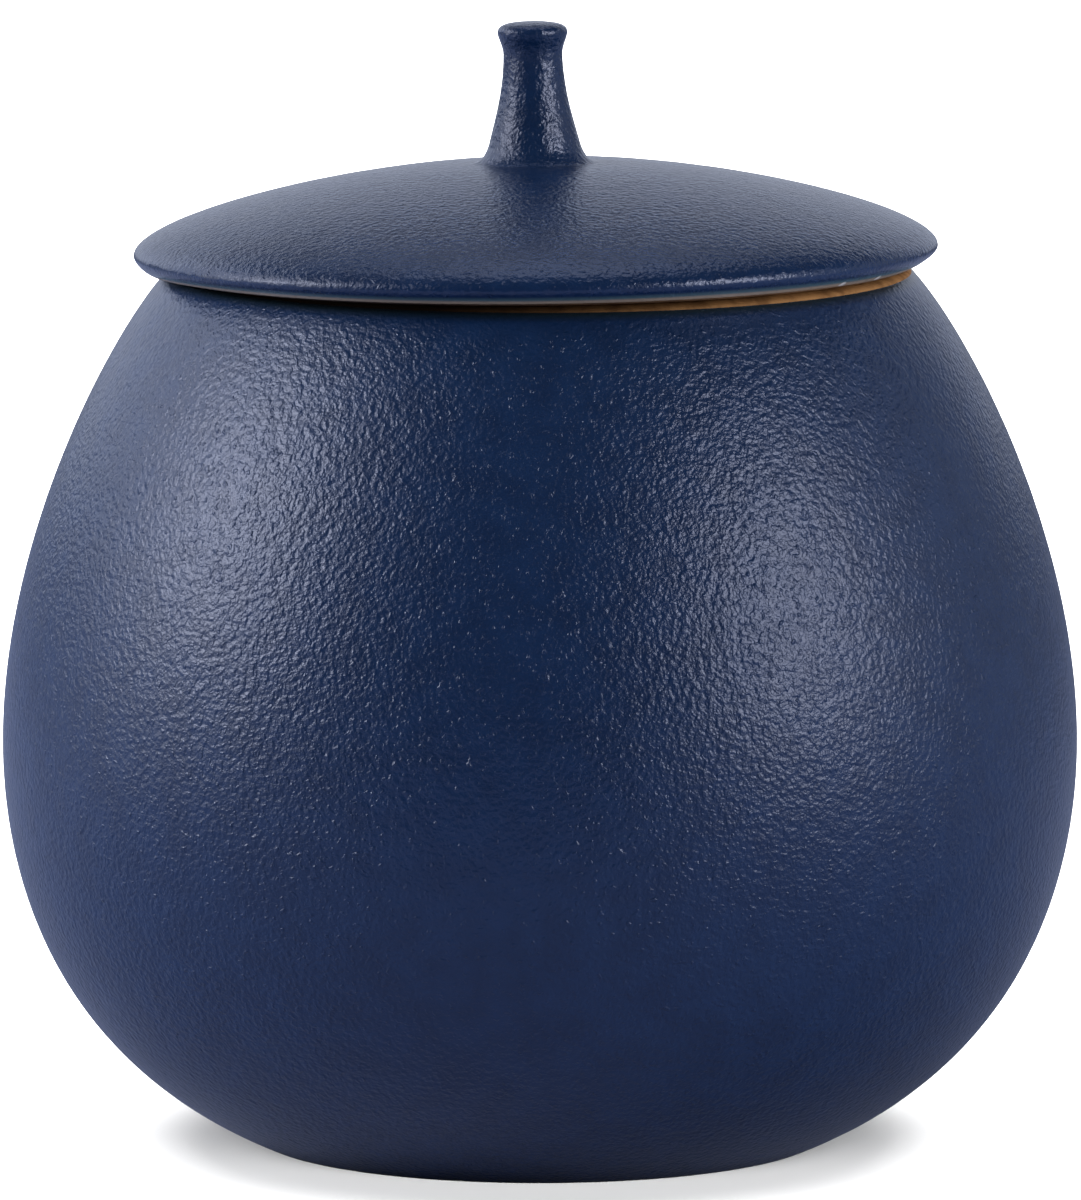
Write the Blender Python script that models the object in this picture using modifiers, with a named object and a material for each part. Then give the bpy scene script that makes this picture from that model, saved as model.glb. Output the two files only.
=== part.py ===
"""Glazed stoneware funeral urn: a hollow thrown jar and the knobbed lid that lies on its rim.

Metres, +Z up. The origin is on the jar's axis in the plane of its foot, and the front faces -Y.
A profile is a list of (radius, height) points from top to bottom, turned about Z. A direction
along it is an angle from straight down, positive where the profile spreads outwards.
"""

from math import cos, hypot, radians, sin

import bmesh
import bpy

MM = 0.001

# Jar
FOOT_RADIUS = 52.8 * MM
BELLY_RADIUS = 100.0 * MM
BELLY_HEIGHT = 74.4 * MM
MOUTH_RADIUS = 69.2 * MM
SHOULDER_HEIGHT = 162.3 * MM
JAR_WALL = 5.5 * MM
FLOOR_THICKNESS = 7.0 * MM
FOOT_RING_WIDTH = 8.0 * MM
FOOT_RING_SLOPE = 2.0 * MM
FOOT_RECESS = 2.0 * MM

# Rim: cut a little out of level, so that the lid lies low at the back left
RIM_RISE = 0.45 * MM
FRONT_RAISED = radians(0.51)
RIGHT_RAISED = radians(0.62)

# Lid
LID_REST_GAP = 0.3 * MM
LID_SHIFT_LEFT = 0.75 * MM
LID_OVERHANG = 1.25 * MM
ROLL_WIDTH = 4.1 * MM
ROLL_HEIGHT = 3.2 * MM
DOME_RISE = 16.1 * MM
LID_WALL = 5.0 * MM
FLANGE_GAP = 0.75 * MM
FLANGE_THICKNESS = 4.0 * MM
FLANGE_DEPTH = 6.0 * MM

# Knob
KNOB_HEIGHT = 26.2 * MM
KNOB_CAP_RADIUS = 6.5 * MM
KNOB_WAIST_RADIUS = 5.5 * MM
KNOB_NECK_RADIUS = 8.4 * MM
KNOB_FOOT_RADIUS = 11.5 * MM

# Heights of the knob's widest point, waist and neck, as shares of its height
KNOB_CAP_AT = 0.925
KNOB_WAIST_AT = 0.77
KNOB_NECK_AT = 0.145

# Directions of the profiles
OUTWARDS = radians(90.0)
DOWN = 0.0
INWARDS = radians(-90.0)
SHOULDER_LEAN = radians(43.0)
FOOT_LEAN = radians(-66.9)
KNOB_NECK_LEAN = radians(14.0)
DOME_TOP_LEAN = radians(88.1)

# How far the two handles of each curve reach, as shares of its chord
SHOULDER_REACH = (0.162, 0.411)
BOWL_REACH = (0.262, 0.484)
CAP_REACH = (0.72, 0.2)
UNDERCUT_REACH = (0.22, 0.35)
SHAFT_REACH = (0.4, 0.2)
KNOB_FOOT_REACH = (0.33, 0.34)
DOME_REACH = (0.406, 0.089)
ROLL_REACH = (0.35, 0.3)

# Fineness
TURNS = 60
LONG_CURVE = 9
SHORT_CURVE = 4
MERGE = 0.01 * MM

GLAZE_BLUE = (0.005, 0.018, 0.058, 1.0)
GLAZE_ROUGHNESS = 0.4


def curve(start, leaving, end, arriving, reach, pieces):
    """Points along a smooth curve with a direction at each end, both ends among them."""
    chord = hypot(end[0] - start[0], end[1] - start[1])
    out, back = reach[0] * chord, reach[1] * chord
    corners = (
        start,
        (start[0] + out * sin(leaving), start[1] - out * cos(leaving)),
        (end[0] - back * sin(arriving), end[1] + back * cos(arriving)),
        end,
    )
    points = []
    for step in range(pieces + 1):
        t = step / pieces
        s = 1 - t
        weights = (s**3, 3 * s * s * t, 3 * s * t * t, t**3)
        points.append(tuple(sum(w * c[i] for w, c in zip(weights, corners)) for i in (0, 1)))
    return points


def join(*stretches):
    """One profile from stretches that each start where the one before ends."""
    profile = list(stretches[0])
    for stretch in stretches[1:]:
        profile += stretch[1:]
    return profile


def inside(profile, wall):
    """The inner side of a wall whose outer side is this profile."""
    moved = []
    for i, (radius, height) in enumerate(profile):
        before = profile[max(i - 1, 0)]
        after = profile[min(i + 1, len(profile) - 1)]
        along = (after[0] - before[0], after[1] - before[1])
        length = hypot(*along)
        moved.append((radius + wall * along[1] / length, height - wall * along[0] / length))
    return moved


def up_to(profile, which, limit):
    """The start of a profile, ended where its radius (which 0) or its height (which 1) meets a limit."""
    kept = [profile[0]]
    for before, after in zip(profile, profile[1:]):
        if (before[which] - limit) * (after[which] - limit) <= 0:
            share = (limit - before[which]) / (after[which] - before[which])
            kept.append(tuple(b + share * (a - b) for b, a in zip(before, after)))
            break
        kept.append(after)
    return kept


def jar_outside():
    """The jar's outer side, from the mouth down to the foot."""
    mouth = (MOUTH_RADIUS, SHOULDER_HEIGHT)
    belly = (BELLY_RADIUS, BELLY_HEIGHT)
    foot = (FOOT_RADIUS, 0.0)
    return join(
        curve(mouth, SHOULDER_LEAN, belly, DOWN, SHOULDER_REACH, LONG_CURVE),
        curve(belly, DOWN, foot, FOOT_LEAN, BOWL_REACH, LONG_CURVE),
    )


def jar_inside():
    """The jar's inner side, from the mouth down to the floor's edge."""
    return up_to(inside(jar_outside(), JAR_WALL), 1, FOOT_RECESS + FLOOR_THICKNESS)


def jar_profile(rim_top):
    """The whole jar, from the middle of its floor, over the rim, to the middle of its underside."""
    inner = jar_inside()
    floor = (0.0, inner[-1][1])
    rim = [(inner[0][0], rim_top), (MOUTH_RADIUS, rim_top)]
    ring = FOOT_RADIUS - FOOT_RING_WIDTH
    underside = [(ring, 0.0), (ring - FOOT_RING_SLOPE, FOOT_RECESS), (0.0, FOOT_RECESS)]
    return [floor] + inner[::-1] + rim + jar_outside() + underside


def knob_profile(base):
    """The knob, from the middle of its cap down to where its foot runs out into the dome."""
    top = (0.0, base + KNOB_HEIGHT)
    cap = (KNOB_CAP_RADIUS, base + KNOB_HEIGHT * KNOB_CAP_AT)
    waist = (KNOB_WAIST_RADIUS, base + KNOB_HEIGHT * KNOB_WAIST_AT)
    neck = (KNOB_NECK_RADIUS, base + KNOB_HEIGHT * KNOB_NECK_AT)
    foot = (KNOB_FOOT_RADIUS, base)
    return join(
        curve(top, OUTWARDS, cap, DOWN, CAP_REACH, SHORT_CURVE),
        curve(cap, DOWN, waist, DOWN, UNDERCUT_REACH, SHORT_CURVE),
        curve(waist, DOWN, neck, KNOB_NECK_LEAN, SHAFT_REACH, SHORT_CURVE),
        curve(neck, KNOB_NECK_LEAN, foot, DOME_TOP_LEAN, KNOB_FOOT_REACH, SHORT_CURVE),
    )


def lid_profile():
    """The lid, seated at height 0, from the middle of its cap to the middle of its hollow."""
    knob = knob_profile(ROLL_HEIGHT + DOME_RISE)
    edge = (MOUTH_RADIUS + LID_OVERHANG, 0.0)
    tip = (edge[0] + ROLL_WIDTH, ROLL_HEIGHT)
    dome = curve(knob[-1], DOME_TOP_LEAN, tip, DOWN, DOME_REACH, LONG_CURVE)
    roll = curve(tip, DOWN, edge, INWARDS, ROLL_REACH, SHORT_CURVE)
    bore = jar_inside()[0][0]
    outer = bore - LID_SHIFT_LEFT - FLANGE_GAP
    inner = outer - FLANGE_THICKNESS
    hollow = up_to(inside(dome, LID_WALL), 0, inner)
    flange = [(outer, 0.0), (outer, -FLANGE_DEPTH), (inner, -FLANGE_DEPTH)]
    return join(knob, dome, roll) + flange + hollow[::-1] + [(0.0, hollow[0][1])]


def collection(name):
    """A new collection in the scene."""
    made = bpy.data.collections.new(name)
    bpy.context.scene.collection.children.link(made)
    return made


def glaze(name):
    """The satin navy glaze."""
    material = bpy.data.materials.new(name)
    material.use_nodes = True
    shader = material.node_tree.nodes["Principled BSDF"]
    shader.inputs["Base Color"].default_value = GLAZE_BLUE
    shader.inputs["Roughness"].default_value = GLAZE_ROUGHNESS
    shader.inputs["Metallic"].default_value = 0.0
    return material


def turned(name, profile, home):
    """A closed body turned about Z from a profile whose ends lie on the axis."""
    shape = bmesh.new()
    points = [shape.verts.new((radius, 0.0, height)) for radius, height in profile]
    for above, below in zip(points, points[1:]):
        shape.edges.new((above, below))
    mesh = bpy.data.meshes.new(name)
    shape.to_mesh(mesh)
    shape.free()
    mesh.materials.append(glaze(name + "_glaze"))
    piece = bpy.data.objects.new(name, mesh)
    home.objects.link(piece)
    screw = piece.modifiers.new("Turn", "SCREW")
    screw.steps = TURNS
    screw.render_steps = TURNS
    screw.use_merge_vertices = True
    screw.merge_threshold = MERGE
    screw.use_smooth_shade = True
    return piece


def rim_plane(home):
    """An empty in the plane of the jar's rim, which the rim's cut and the lid both follow."""
    plane = bpy.data.objects.new("rim_plane", None)
    plane.location = (0.0, 0.0, SHOULDER_HEIGHT + RIM_RISE)
    plane.rotation_euler = (-FRONT_RAISED, -RIGHT_RAISED, 0.0)
    home.objects.link(plane)
    return plane


def rim_cutter(plane, home):
    """A block that stands on the rim's plane, wider than the jar."""
    side = 2 * BELLY_RADIUS
    bpy.ops.mesh.primitive_cube_add(size=side, location=(0.0, 0.0, 0.0))
    block = bpy.context.object
    block.name = "rim_cutter"
    for vertex in block.data.vertices:
        vertex.co.z += side / 2
    for owner in list(block.users_collection):
        owner.objects.unlink(block)
    home.objects.link(block)
    block.parent = plane
    block.hide_render = True
    block.display_type = "WIRE"
    return block


def build():
    """Clear the scene and make the urn."""
    for old in list(bpy.data.objects):
        bpy.data.objects.remove(old, do_unlink=True)
    urn = collection("funeral_urn")
    cutters = collection("cutters")
    plane = rim_plane(cutters)

    # Tall enough that the sloping cut passes below its top all round
    slope = sin(FRONT_RAISED) + sin(RIGHT_RAISED)
    uncut_rim = SHOULDER_HEIGHT + RIM_RISE + slope * MOUTH_RADIUS + JAR_WALL
    jar = turned("jar", jar_profile(uncut_rim), urn)
    cut = jar.modifiers.new("Rim cut", "BOOLEAN")
    cut.operation = "DIFFERENCE"
    cut.object = rim_cutter(plane, cutters)

    lid = turned("lid", lid_profile(), urn)
    lid.parent = plane
    lid.location = (-LID_SHIFT_LEFT, 0.0, LID_REST_GAP)


build()
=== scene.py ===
from math import cos, hypot, pi, radians, sin, tan

import bmesh
import bpy
from mathutils import Euler, Matrix, Vector, noise


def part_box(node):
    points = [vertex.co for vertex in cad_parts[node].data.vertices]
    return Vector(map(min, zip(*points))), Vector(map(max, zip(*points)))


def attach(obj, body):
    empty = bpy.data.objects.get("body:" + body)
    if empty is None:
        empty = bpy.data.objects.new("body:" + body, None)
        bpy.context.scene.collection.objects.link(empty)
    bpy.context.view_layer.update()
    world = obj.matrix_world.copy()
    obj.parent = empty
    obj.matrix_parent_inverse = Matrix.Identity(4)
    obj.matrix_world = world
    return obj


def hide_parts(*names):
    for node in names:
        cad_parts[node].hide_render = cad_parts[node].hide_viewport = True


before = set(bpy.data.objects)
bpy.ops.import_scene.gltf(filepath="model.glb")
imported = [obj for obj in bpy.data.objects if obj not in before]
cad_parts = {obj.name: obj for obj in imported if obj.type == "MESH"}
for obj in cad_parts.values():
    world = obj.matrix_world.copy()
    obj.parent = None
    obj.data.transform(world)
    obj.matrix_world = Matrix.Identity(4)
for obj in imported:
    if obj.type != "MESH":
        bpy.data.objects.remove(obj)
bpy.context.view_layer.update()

MM = 0.001

# The camera: a long lens straight in front of the urn and eight degrees above it, as in the
# photograph. It aims a little above the middle, so the urn fills the frame without a shift.
CAMERA_DISTANCE = 2545 * MM
CAMERA_ELEVATION = radians(8.01)
CAMERA_PIVOT = Vector((0.0, 0.0, 90.9 * MM))
CAMERA_AIM = Vector((0.1 * MM, 0.0, 100.6 * MM))
PHOTO_HEIGHT_PX = 1200
FOCAL_PX = 13677
SENSOR_HEIGHT = 36.0
FURTHEST_SEEN = 100.0

camera = bpy.data.objects.new("camera", bpy.data.cameras.new("camera"))
bpy.context.scene.collection.objects.link(camera)
camera.data.sensor_fit = "VERTICAL"
camera.data.sensor_height = SENSOR_HEIGHT
camera.data.lens = SENSOR_HEIGHT * FOCAL_PX / PHOTO_HEIGHT_PX
camera.data.clip_end = FURTHEST_SEEN
towards_camera = Vector((0.0, -cos(CAMERA_ELEVATION), sin(CAMERA_ELEVATION)))
camera.location = CAMERA_PIVOT + CAMERA_DISTANCE * towards_camera
camera.rotation_euler = (CAMERA_AIM - camera.location).to_track_quat("-Z", "Y").to_euler()
bpy.context.scene.camera = camera
bpy.context.scene.view_settings.view_transform = "Standard"

# The studio: a plain white floor with lights of its own, and soft light round the urn, which
# mirrors a dimmer floor than the one in view. A softbox stands to the left, weaker on the lid,
# and another to the right in front. Bluish walls behind whiten the urn's edges and top.
FLOOR_SIZE = 60.0
FLOOR_PAPER = (0.80, 0.80, 0.80, 1.0)
FLOOR_GLOW = 0.17
DIM_FLOOR_PAPER = (0.42, 0.46, 0.62, 1.0)
DIM_FLOOR_DROP = 0.05 * MM
PAPER_ROUGHNESS = 0.9
ROOM_BRIGHTNESS = 0.075
WHITE = (1.0, 1.0, 1.0)
SKYLIGHT = (0.80, 0.87, 1.05)

room = bpy.data.worlds.new("room")
room.use_nodes = True
room.node_tree.nodes["Background"].inputs["Color"].default_value = (*WHITE, 1.0)
room.node_tree.nodes["Background"].inputs["Strength"].default_value = ROOM_BRIGHTNESS
bpy.context.scene.world = room


def paper_floor(name, height, colour, glow):
    """A wide matt sheet at a height, which may glow a little."""
    shape = bmesh.new()
    bmesh.ops.create_grid(shape, x_segments=1, y_segments=1, size=FLOOR_SIZE / 2)
    bmesh.ops.translate(shape, verts=shape.verts[:], vec=(0.0, 0.0, height))
    mesh = bpy.data.meshes.new(name)
    shape.to_mesh(mesh)
    shape.free()
    paper = bpy.data.materials.new(name + "_paper")
    paper.use_nodes = True
    shader = paper.node_tree.nodes["Principled BSDF"]
    shader.inputs["Base Color"].default_value = colour
    shader.inputs["Roughness"].default_value = PAPER_ROUGHNESS
    shader.inputs["Specular IOR Level"].default_value = 0.0
    shader.inputs["Emission Color"].default_value = (*WHITE, 1.0)
    shader.inputs["Emission Strength"].default_value = glow
    mesh.materials.append(paper)
    sheet = bpy.data.objects.new(name, mesh)
    bpy.context.scene.collection.objects.link(sheet)
    return sheet


def lit_group(name, *members):
    """What a light reaches, where it doesn't reach everything."""
    group = bpy.data.collections.new(name)
    for member in members:
        group.objects.link(member)
    return group


def softbox(name, azimuth, elevation, distance, size, brightness, colour, lit):
    """A soft light turned to the urn, at an azimuth from the front that is positive to the right."""
    width, height = size
    light = bpy.data.lights.new(name, "AREA")
    light.shape = "RECTANGLE"
    light.size = width
    light.size_y = height
    light.energy = brightness * pi * width * height
    light.color = colour
    lamp = bpy.data.objects.new(name, light)
    a, e = radians(azimuth), radians(elevation)
    towards = Vector((sin(a) * cos(e), -cos(a) * cos(e), sin(e)))
    lamp.location = CAMERA_PIVOT + distance * towards
    lamp.rotation_euler = (-towards).to_track_quat("-Z", "Y").to_euler()
    lamp.visible_camera = False
    lamp.light_linking.receiver_collection = lit
    bpy.context.scene.collection.objects.link(lamp)


floor = paper_floor("floor", 0.0, FLOOR_PAPER, FLOOR_GLOW)
floor.visible_diffuse = False
floor.visible_glossy = False
floor.visible_shadow = False
dim_floor = paper_floor("dim_floor", -DIM_FLOOR_DROP, DIM_FLOOR_PAPER, 0.0)
dim_floor.visible_camera = False

floor_in_view = lit_group("floor_in_view", floor)
urn_and_floor = lit_group("urn_and_floor", dim_floor)
jar_and_floor = lit_group("jar_and_floor", dim_floor)
lid_alone = lit_group("lid_alone")

softbox("left_middle", -80, 26, 1.2, (0.45, 0.45), 12.3, WHITE, jar_and_floor)
softbox("left_middle_on_lid", -80, 26, 1.2, (0.45, 0.45), 7.0, WHITE, lid_alone)
softbox("left_rim", -82, 25, 1.6, (1.70, 1.60), 1.9, WHITE, urn_and_floor)
softbox("right_middle", 58, 20, 1.2, (0.42, 0.54), 9.8, WHITE, urn_and_floor)
softbox("right_rim", 60, 15, 1.6, (1.50, 1.30), 1.3, WHITE, urn_and_floor)
softbox("right_wall", 112, 16, 1.6, (1.20, 1.00), 0.45, SKYLIGHT, urn_and_floor)
softbox("left_wall", -128, 26, 1.6, (1.20, 1.20), 1.4, SKYLIGHT, urn_and_floor)
softbox("back_wall", 180, 18, 1.6, (2.20, 1.00), 0.85, SKYLIGHT, urn_and_floor)
softbox("overhead", 180, 72, 1.6, (1.00, 1.00), 1.4, SKYLIGHT, urn_and_floor)
softbox("ceiling", 180, 75, 4.5, (8.0, 8.0), 7.8, WHITE, floor_in_view)
softbox("low_front", 0, 14, 3.0, (5.0, 1.0), 18.0, WHITE, floor_in_view)

# The jar: a thrown stoneware pot with a round belly, hollow, dipped in navy glaze outside. Its
# rim, its inside and the ring that it stands on are bare clay. The rim was cut a little out of
# level, so the strip of clay over the glaze is widest at the front right.
JAR_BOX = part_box("jar")
BELLY_RADIUS = (JAR_BOX[1][0] - JAR_BOX[0][0]) / 2 / MM
BELLY_HEIGHT = 74.4
FOOT_RADIUS = 52.8
MOUTH_RADIUS = 69.2
GLAZE_LINE = 162.3
GLAZE_THICKNESS = 0.25
JAR_WALL = 5.5
FLOOR_TOP = 9.0
FLOOR_MIDDLE = 25.0
FLOOR_CORNER = 2.0
FOOT_RING_WIDTH = 8.0
FOOT_RECESS = 2.0
RECESS_MIDDLE = 20.0
RIM_CENTRE = 162.68
RIM_TILT = Euler((radians(-0.51), radians(-0.51), 0.0))
UNCUT_RIM = 168.0
NECK_PIECES = 28
NECK_SKIN = 0.1
ROUNDED_DOWN_TO = 1.3 * MM
ROUNDED_IN_BY = 2.0 * MM
TURNS = 420
INSIDE_FROM_EVERY = 5

# Directions along a profile, from straight down, and its curves: how far the two handles reach,
# as shares of the chord, and the number of pieces
DOWN = 0.0
OUTWARDS = radians(90)
SHOULDER_LEAN = radians(43.0)
FOOT_LEAN = radians(-66.9)
SHOULDER_CURVE = ((0.162, 0.411), 75)
BOWL_CURVE = ((0.262, 0.484), 85)

# How far into the glaze a point lies, in millimetres: less than nothing on bare clay
BARE = -1.0
JAR_GLAZE_EDGE = 0.3
NECK_GLAZE_EDGE = 0.1

SAME_POINT = 0.001 * MM
MERGE = 0.002 * MM
SWELL_HEIGHT = 0.02 * MM
SWELL_SPACING = 4.0 * MM
SWELL_GROWS_OVER = 3.0
SHARP_FROM = radians(40)

NAVY = (0.0036, 0.0180, 0.0620, 1.0)
NAVY_DEEP = (0.0026, 0.0140, 0.0500, 1.0)
SHINE = (0.72, 0.77, 1.0, 1.0)
# Greenish where the jar's glaze thins below the rim, and darkened there as painted shade under the
# lid's edge.
THIN_GREEN_AND_PAINTED_SHADE = (0.0050, 0.0120, 0.0180, 1.0)
CLOUD_SCALE = 160.0
CLOUD_LIMITS = (0.35, 0.65)
CLOUDS_GROW_OVER = [(0.7, (0, 0, 0, 1)), (1.0, (1, 1, 1, 1))]
THIN_GLAZE_ENDS = 0.9
BLIP_SCALE = 1150.0
BLIP_LIMITS = (0.66, 0.82)
BLIP_HEIGHT = 0.26
CALM_EDGE = (1.0, 7.0)
CALM_STRENGTH = 0.4
JAR_GLAZE_FADE = 2.4
# The jar's glaze end: thin glaze, with painted shade under the lid.
JAR_THIN_GLAZE_AND_SHADE = [(0.2, THIN_GREEN_AND_PAINTED_SHADE)]
JAR_PEEL_SCALE = 900.0
JAR_PEEL_HEIGHT = 0.38 * MM
JAR_GLAZE_ROUGHNESS = 0.32

CLAY = (0.30, 0.150, 0.055, 1.0)
CLAY_DARK = (0.17, 0.078, 0.026, 1.0)
# Painted shade: the clay is painted nearly black on its left side and fades to its own colour
# towards the right, standing in for the shadow on the rim's strip.
CLAY_IN_PAINTED_SHADE = (0.022, 0.009, 0.003, 1.0)
PAINTED_SHADE_UP_TO = -20.0 * MM
UNSHADED_FROM = 48.0 * MM
CLAY_CLOUD_SCALE = 240.0
CLAY_CLOUD_LIMITS = (0.38, 0.58)
GRIT_SCALE = 1800.0
GRIT_STRENGTH = 0.6
GRIT_HEIGHT = 0.05 * MM
CLAY_ROUGHNESS = 0.8
CLAY_SHINE = 0.2


def share(value):
    """A value kept between nothing and one."""
    return min(max(value, 0.0), 1.0)


def curve(start, leaving, end, arriving, reach, pieces):
    """Points along a smooth curve with a direction at each end, measured from straight down."""
    chord = hypot(end[0] - start[0], end[1] - start[1])
    out, back = reach[0] * chord, reach[1] * chord
    corners = (
        start,
        (start[0] + out * sin(leaving), start[1] - out * cos(leaving)),
        (end[0] - back * sin(arriving), end[1] + back * cos(arriving)),
        end,
    )
    points = []
    for step in range(pieces + 1):
        t = step / pieces
        s = 1 - t
        weights = (s**3, 3 * s * s * t, 3 * s * t * t, t**3)
        points.append(tuple(sum(w * c[i] for w, c in zip(weights, corners)) for i in (0, 1)))
    return points


def inside(profile, wall):
    """The inner side of a wall whose outer side is this profile, which runs downwards."""
    moved = []
    for i, (radius, height) in enumerate(profile):
        before = profile[max(i - 1, 0)]
        after = profile[min(i + 1, len(profile) - 1)]
        along = (after[0] - before[0], after[1] - before[1])
        length = hypot(*along)
        moved.append((radius + wall * along[1] / length, height - wall * along[0] / length))
    return moved


def lengths_from(profile, start):
    """How far each point of a profile is along it from the point with this index."""
    along = [0.0]
    for before, after in zip(profile, profile[1:]):
        along.append(along[-1] + hypot(after[0] - before[0], after[1] - before[1]))
    return [abs(value - along[start]) for value in along]


def thrown(stretches):
    """A body turned from stretches of (points, distances into the glaze), glazed and bare."""
    body = bmesh.new()
    glazed = body.verts.layers.float.new("into_glaze")
    last = None
    for points, depths in stretches:
        for (radius, height), depth in zip(points, depths):
            if last and hypot(last.co.x - radius * MM, last.co.z - height * MM) < SAME_POINT:
                continue
            point = body.verts.new((radius * MM, 0.0, height * MM))
            point[glazed] = depth
            if last:
                body.edges.new((last, point))
            last = point
    bmesh.ops.spin(body, geom=body.verts[:] + body.edges[:], cent=(0, 0, 0), axis=(0, 0, 1),
                   dvec=(0, 0, 0), angle=2 * pi, steps=TURNS, use_merge=True, use_duplicate=False)
    bmesh.ops.remove_doubles(body, verts=body.verts[:], dist=MERGE)
    bmesh.ops.recalc_face_normals(body, faces=body.faces[:])
    for face in body.faces:
        face.smooth = True
        depth = min(corner[glazed] for corner in face.verts)
        face.material_index = 0 if depth > 0 else 1
    return body


def swell(body):
    """The glaze's slow unevenness, laid on as relief where the glaze is."""
    glazed = body.verts.layers.float["into_glaze"]
    body.normal_update()
    for vert in body.verts:
        cover = share(min(vert[glazed], vert.co.z / MM) / SWELL_GROWS_OVER)
        if cover:
            vert.co += vert.normal * (noise.noise(vert.co / SWELL_SPACING) * SWELL_HEIGHT * cover)


def new_material(name):
    """A node material, with its shader and its place on the piece."""
    material = bpy.data.materials.new(name)
    material.use_nodes = True
    tree = material.node_tree
    here = tree.nodes.new("ShaderNodeTexCoord").outputs["Object"]
    return material, tree, tree.nodes["Principled BSDF"], here


def node(tree, kind, **values):
    """A node with some of its sockets set."""
    made = tree.nodes.new(kind)
    for name, value in values.items():
        made.inputs[name].default_value = value
    return made


def grain(tree, here, scale, detail, roughness):
    """A three-dimensional grain of a size."""
    made = node(tree, "ShaderNodeTexNoise", Scale=scale, Detail=detail, Roughness=roughness)
    tree.links.new(here, made.inputs["Vector"])
    return made.outputs["Fac"]


def scaled(tree, value, start, end, first=0.0, last=1.0):
    """A value that goes from first to last while another goes from start to end."""
    limits = {"From Min": start, "From Max": end, "To Min": first, "To Max": last}
    made = node(tree, "ShaderNodeMapRange", **limits)
    tree.links.new(value, made.inputs["Value"])
    return made.outputs["Result"]


def ramp(tree, factor, stops):
    """Colours that follow each other, from (place, colour) stops."""
    made = tree.nodes.new("ShaderNodeValToRGB")
    while len(made.color_ramp.elements) < len(stops):
        made.color_ramp.elements.new(1.0)
    for element, (place, colour) in zip(made.color_ramp.elements, stops):
        element.position = place
        element.color = colour
    tree.links.new(factor, made.inputs["Fac"])
    return made.outputs["Color"]


def mixed(tree, weight, first, second):
    """Two colours mixed by a weight, each a plain colour or one that a node gives."""
    made = tree.nodes.new("ShaderNodeMix")
    made.data_type = "RGBA"
    tree.links.new(weight, made.inputs["Factor"])
    for name, colour in (("A", first), ("B", second)):
        if isinstance(colour, tuple):
            made.inputs[name].default_value = colour
        else:
            tree.links.new(colour, made.inputs[name])
    return made.outputs["Result"]


def navy_glaze(name, fade, thin_and_shade, peel_scale, peel_height, roughness):
    """Satin navy glaze with an orange-peel grain, in other colours towards its end, where it thins
    out and, on the jar, where painted shade lies under the lid.
    """
    material, tree, shader, here = new_material(name)
    depth = tree.nodes.new("ShaderNodeAttribute")
    depth.attribute_name = "into_glaze"
    cover = scaled(tree, depth.outputs["Fac"], 0.0, fade)
    clouds = grain(tree, here, CLOUD_SCALE, detail=2.0, roughness=0.5)
    navy = ramp(tree, clouds, list(zip(CLOUD_LIMITS, (NAVY_DEEP, NAVY))))
    edge = ramp(tree, cover, thin_and_shade + [(THIN_GLAZE_ENDS, NAVY_DEEP)])
    weight = ramp(tree, cover, CLOUDS_GROW_OVER)
    tree.links.new(mixed(tree, weight, edge, navy), shader.inputs["Base Color"])

    peel = grain(tree, here, peel_scale, detail=2.0, roughness=0.5)
    blips = scaled(tree, grain(tree, here, BLIP_SCALE, detail=0.0, roughness=0.5), *BLIP_LIMITS,
                   last=BLIP_HEIGHT)
    relief = tree.nodes.new("ShaderNodeMath")
    relief.operation = "ADD"
    tree.links.new(peel, relief.inputs[0])
    tree.links.new(blips, relief.inputs[1])
    calm = scaled(tree, depth.outputs["Fac"], *CALM_EDGE, first=CALM_STRENGTH)
    bump = node(tree, "ShaderNodeBump", Distance=peel_height)
    tree.links.new(calm, bump.inputs["Strength"])
    tree.links.new(relief.outputs["Value"], bump.inputs["Height"])
    tree.links.new(bump.outputs["Normal"], shader.inputs["Normal"])
    shader.inputs["Roughness"].default_value = roughness
    shader.inputs["Specular Tint"].default_value = SHINE
    return material


def bare_clay(name):
    """Bare stoneware: ochre brown, dry, gritty, with darker specks, and painted darker towards the
    left as painted shade.
    """
    material, tree, shader, here = new_material(name)
    clouds = grain(tree, here, CLAY_CLOUD_SCALE, detail=4.0, roughness=0.6)
    colour = ramp(tree, clouds, list(zip(CLAY_CLOUD_LIMITS, (CLAY_DARK, CLAY))))
    place = tree.nodes.new("ShaderNodeSeparateXYZ")
    tree.links.new(here, place.inputs["Vector"])
    # Painted shade: the clay darkens towards the left along the piece's x.
    unshaded = scaled(tree, place.outputs["X"], PAINTED_SHADE_UP_TO, UNSHADED_FROM)
    tree.links.new(mixed(tree, unshaded, CLAY_IN_PAINTED_SHADE, colour), shader.inputs["Base Color"])

    grit = grain(tree, here, GRIT_SCALE, detail=3.0, roughness=0.6)
    bump = node(tree, "ShaderNodeBump", Strength=GRIT_STRENGTH, Distance=GRIT_HEIGHT)
    tree.links.new(grit, bump.inputs["Height"])
    tree.links.new(bump.outputs["Normal"], shader.inputs["Normal"])
    shader.inputs["Roughness"].default_value = CLAY_ROUGHNESS
    shader.inputs["Specular IOR Level"].default_value = CLAY_SHINE
    return material


def fired(name, body, materials):
    """The finished piece, shaded smooth but for its real corners."""
    mesh = bpy.data.meshes.new(name)
    body.to_mesh(mesh)
    body.free()
    for material in materials:
        mesh.materials.append(material)
    mesh.set_sharp_from_angle(angle=SHARP_FROM)
    piece = bpy.data.objects.new(name, mesh)
    bpy.context.scene.collection.objects.link(piece)
    return piece


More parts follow.
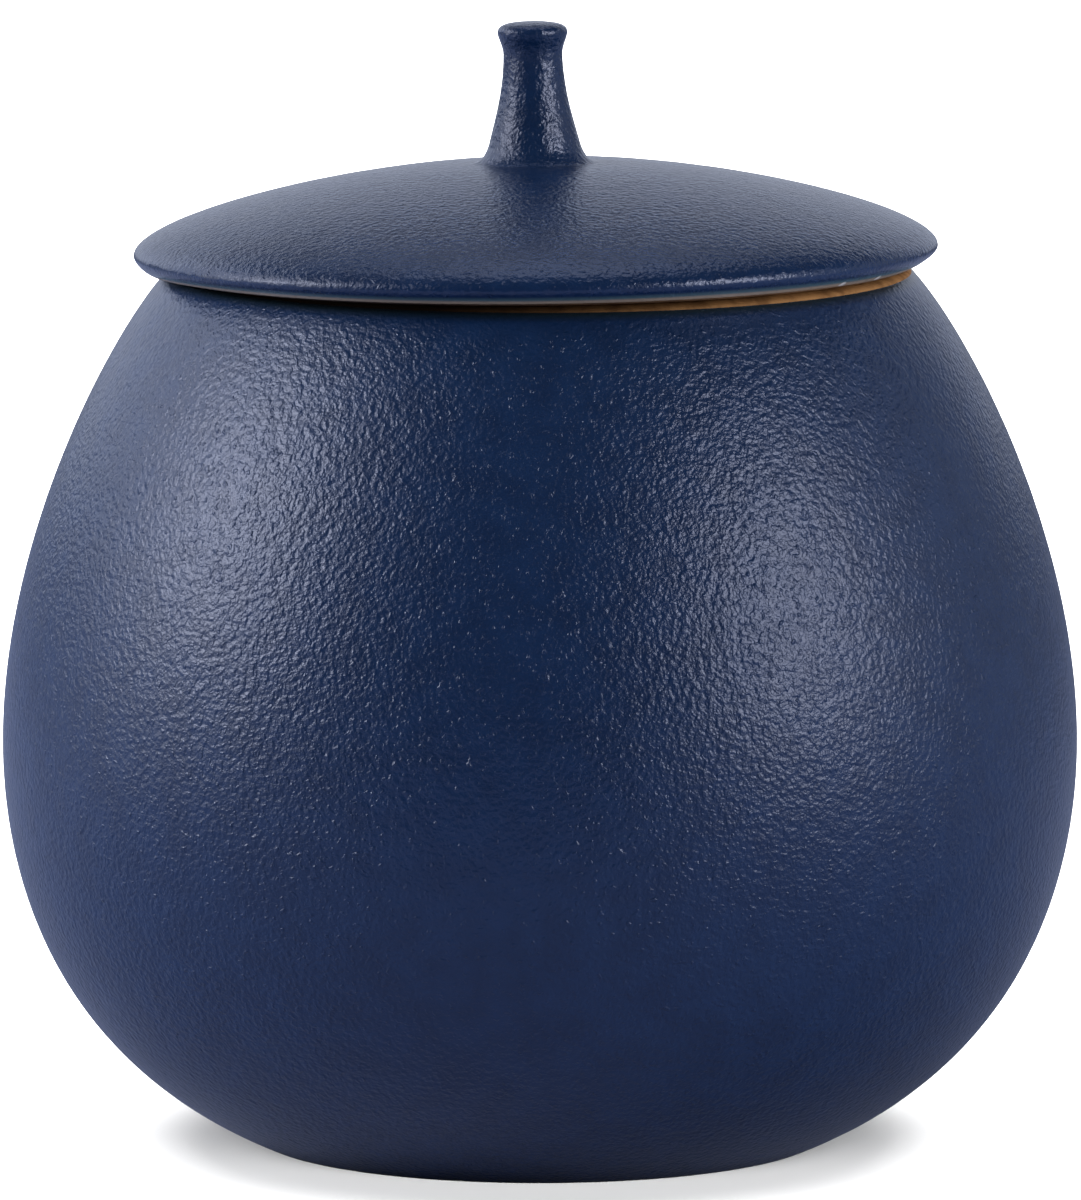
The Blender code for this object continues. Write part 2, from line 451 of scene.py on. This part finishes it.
mouth = (MOUTH_RADIUS, GLAZE_LINE - GLAZE_THICKNESS)
belly = (BELLY_RADIUS, BELLY_HEIGHT)
foot = (FOOT_RADIUS, 0.0)
jar_outside = curve(mouth, SHOULDER_LEAN, belly, DOWN, *SHOULDER_CURVE)
jar_outside += curve(belly, DOWN, foot, FOOT_LEAN, *BOWL_CURVE)[1:]
jar_wall_inside = inside(jar_outside[::INSIDE_FROM_EVERY], JAR_WALL)
jar_inside = [point for point in jar_wall_inside if point[1] > FLOOR_TOP]
bore = jar_inside[0][0]
neck = MOUTH_RADIUS - GLAZE_THICKNESS
ring = FOOT_RADIUS - FOOT_RING_WIDTH

floor_edge = jar_inside[-1][0] - FLOOR_CORNER
clay_inside = [(0.0, FLOOR_TOP), (FLOOR_MIDDLE, FLOOR_TOP), (floor_edge, FLOOR_TOP)]
clay_inside += jar_inside[::-1] + [(bore, UNCUT_RIM)]
clay_neck = []
for step in range(NECK_PIECES + 1):
    clay_neck.append((neck, UNCUT_RIM - (UNCUT_RIM - GLAZE_LINE) * step / NECK_PIECES))
clay_foot = [(ring, 0.0), (ring - FOOT_RECESS, FOOT_RECESS)]
clay_foot += [(RECESS_MIDDLE, FOOT_RECESS), (0.0, FOOT_RECESS)]
jar_depths = [depth + JAR_GLAZE_EDGE for depth in lengths_from(jar_outside, 0)]
jar_body = thrown([
    (clay_inside, [BARE] * len(clay_inside)),
    (clay_neck, [BARE] * NECK_PIECES + [NECK_GLAZE_EDGE]),
    (jar_outside, jar_depths),
    (clay_foot, [BARE] * len(clay_foot)),
])

# The rim is cut along its slope and closed, and its outer edge is rounded
rim_centre = Vector((0.0, 0.0, RIM_CENTRE * MM))
rim_normal = RIM_TILT.to_matrix() @ Vector((0.0, 0.0, 1.0))
uncut = jar_body.verts[:] + jar_body.edges[:] + jar_body.faces[:]
cut = bmesh.ops.bisect_plane(jar_body, geom=uncut, dist=SAME_POINT, plane_co=rim_centre,
                             plane_no=rim_normal, clear_outer=True)
rim_edges = [item for item in cut["geom_cut"] if isinstance(item, bmesh.types.BMEdge)]
rim_top = bmesh.ops.bridge_loops(jar_body, edges=rim_edges)
for face in rim_top["faces"]:
    face.material_index = 1
bmesh.ops.recalc_face_normals(jar_body, faces=jar_body.faces[:])
for vert in jar_body.verts:
    below = (rim_centre - vert.co).dot(rim_normal)
    on_neck = hypot(vert.co.x, vert.co.y) > (neck - NECK_SKIN) * MM and vert.co.z > GLAZE_LINE * MM
    if on_neck and below < ROUNDED_DOWN_TO:
        inwards = ROUNDED_IN_BY * (1 - below / ROUNDED_DOWN_TO) ** 2 / (neck * MM)
        vert.co.x -= vert.co.x * inwards
        vert.co.y -= vert.co.y * inwards
swell(jar_body)

jar_glaze = navy_glaze("navy_of_jar", JAR_GLAZE_FADE, JAR_THIN_GLAZE_AND_SHADE, JAR_PEEL_SCALE,
                       JAR_PEEL_HEIGHT, JAR_GLAZE_ROUGHNESS)
clay = bare_clay("bare_clay")
jar = fired("urn_jar", jar_body, [jar_glaze, clay])
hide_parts("jar")
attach(jar, "root")
urn_and_floor.objects.link(jar)
jar_and_floor.objects.link(jar)

# The lid: a low thrown dome of the same clay with a rolled edge and a slim waisted knob, glazed
# above. Its underside is bare, with a flange that drops into the mouth. It was trimmed a little
# out of true, so its dome leans further to the left than the edge that lies on the rim.
LID_SHIFT = -0.75
LID_SEAT = 163.06
LID_EDGE = (71.84, 0.53)
LID_SEAT_RADIUS = 69.6
LID_TIP_RADIUS = 74.55
ROLL_HEIGHT = 3.2
DOME_RISE = 16.1
LID_WALL = 5.0
FLANGE_RADIUS = 63.65
FLANGE_THICKNESS = 4.0
FLANGE_DEPTH = 6.0
KNOB_HEIGHT = 26.2
KNOB_FOOT_RADIUS = 11.5
HOLLOW_FROM_EVERY = 4

# The knob's radius at its cap, waist and neck, with the height of each as a share of its own
KNOB_CAP = (6.5, 0.925)
KNOB_WAIST = (5.5, 0.77)
KNOB_NECK = (8.4, 0.145)

KNOB_NECK_LEAN = radians(14.0)
DOME_TOP_LEAN = radians(88.1)
ROLL_END_LEAN = radians(-70)
CAP_CURVE = ((0.72, 0.2), 14)
UNDERCUT_CURVE = ((0.22, 0.35), 10)
SHAFT_CURVE = ((0.4, 0.2), 18)
KNOB_FOOT_CURVE = ((0.33, 0.34), 10)
DOME_CURVE = ((0.406, 0.089), 50)
ROLL_CURVE = ((0.28, 0.175), 24)

# The errors of the hand: the dome and the knob lean, and the lip is out of flat towards its ends
DOME_LEAN = radians(0.29)
KNOB_LEAN = radians(0.6)
LIP_WARP = 0.65
LIP_WARP_FROM = 58.0
LIP_STARTS_OUTSIDE_SEAT = 0.2

LID_GLAZE_EDGE = 0.05
THIN_BEIGE = (0.36, 0.27, 0.19, 1.0)
THIN_TEAL = (0.060, 0.110, 0.130, 1.0)
LID_GLAZE_FADE = 3.1
LID_THIN_GLAZE = [(0.28, THIN_BEIGE), (0.52, THIN_TEAL)]
LID_PEEL_SCALE = 1000.0
LID_PEEL_HEIGHT = 0.30 * MM
LID_GLAZE_ROUGHNESS = 0.27
FLECK = (0.80, 0.75, 0.68, 1.0)
FLECK_RADIUS = 1.0 * MM
FLECK_PLACES = ((55.0, -46.3, 164.8), (61.7, -37.0, 164.8))


def fleck(material, place, radius, colour):
    """A small pale fleck where the glaze has pulled away from the clay."""
    tree = material.node_tree
    base = tree.nodes["Principled BSDF"].inputs["Base Color"]
    here = tree.nodes.new("ShaderNodeTexCoord")
    apart = tree.nodes.new("ShaderNodeVectorMath")
    apart.operation = "DISTANCE"
    tree.links.new(here.outputs["Object"], apart.inputs[0])
    apart.inputs[1].default_value = [length * MM for length in place]
    cover = scaled(tree, apart.outputs["Value"], radius, radius / 2)
    tree.links.new(mixed(tree, cover, base.links[0].from_socket, colour), base)


dome_top = ROLL_HEIGHT + DOME_RISE
knob_turns = (KNOB_CAP, KNOB_WAIST, KNOB_NECK)
cap, waist, knob_neck = [(radius, dome_top + KNOB_HEIGHT * part) for radius, part in knob_turns]
top = (0.0, dome_top + KNOB_HEIGHT)
knob_foot = (KNOB_FOOT_RADIUS, dome_top)
tip = (LID_TIP_RADIUS, ROLL_HEIGHT)
dome = curve(knob_foot, DOME_TOP_LEAN, tip, DOWN, *DOME_CURVE)
lid_outside = curve(top, OUTWARDS, cap, DOWN, *CAP_CURVE)
lid_outside += curve(cap, DOWN, waist, DOWN, *UNDERCUT_CURVE)[1:]
lid_outside += curve(waist, DOWN, knob_neck, KNOB_NECK_LEAN, *SHAFT_CURVE)[1:]
lid_outside += curve(knob_neck, KNOB_NECK_LEAN, knob_foot, DOME_TOP_LEAN, *KNOB_FOOT_CURVE)[1:]
lid_outside += dome[1:]
lid_outside += curve(tip, DOWN, LID_EDGE, ROLL_END_LEAN, *ROLL_CURVE)[1:]

flange_inner = FLANGE_RADIUS - FLANGE_THICKNESS
dome_inside = inside(dome[::HOLLOW_FROM_EVERY], LID_WALL)
hollow = [point for point in dome_inside if point[0] < flange_inner]
clay_under = [(LID_SEAT_RADIUS, 0.0), (FLANGE_RADIUS, 0.0)]
clay_under += [(FLANGE_RADIUS, -FLANGE_DEPTH), (flange_inner, -FLANGE_DEPTH)]
clay_under += [(flange_inner, hollow[-1][1])] + hollow[::-1] + [(0.0, hollow[0][1])]
from_lip = lengths_from(lid_outside, len(lid_outside) - 1)
lid_depths = [depth + LID_GLAZE_EDGE for depth in from_lip]
lid_body = thrown([(lid_outside, lid_depths), (clay_under, [BARE] * len(clay_under))])
swell(lid_body)

for vert in lid_body.verts:
    up = share(vert.co.z / (ROLL_HEIGHT * MM))
    far = share((abs(vert.co.x) / MM - LIP_WARP_FROM) / (LID_EDGE[0] - LIP_WARP_FROM))
    side = 1 if vert.co.x > 0 else -1
    if hypot(vert.co.x, vert.co.y) > (LID_SEAT_RADIUS + LIP_STARTS_OUTSIDE_SEAT) * MM:
        vert.co.z += (1 - up) * far * far * LIP_WARP * MM * side
    vert.co.z += vert.co.x * tan(DOME_LEAN) * up
    vert.co.x -= max(vert.co.z - dome_top * MM, 0.0) * tan(KNOB_LEAN)
seat = Matrix.Translation((LID_SHIFT * MM, 0.0, LID_SEAT * MM)) @ RIM_TILT.to_matrix().to_4x4()
bmesh.ops.transform(lid_body, verts=lid_body.verts[:], matrix=seat)

lid_glaze = navy_glaze("navy_of_lid", LID_GLAZE_FADE, LID_THIN_GLAZE, LID_PEEL_SCALE,
                       LID_PEEL_HEIGHT, LID_GLAZE_ROUGHNESS)
for place in FLECK_PLACES:
    fleck(lid_glaze, place, FLECK_RADIUS, FLECK)
lid = fired("urn_lid", lid_body, [lid_glaze, clay])
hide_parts("lid")
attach(lid, "root")
urn_and_floor.objects.link(lid)
lid_alone.objects.link(lid)
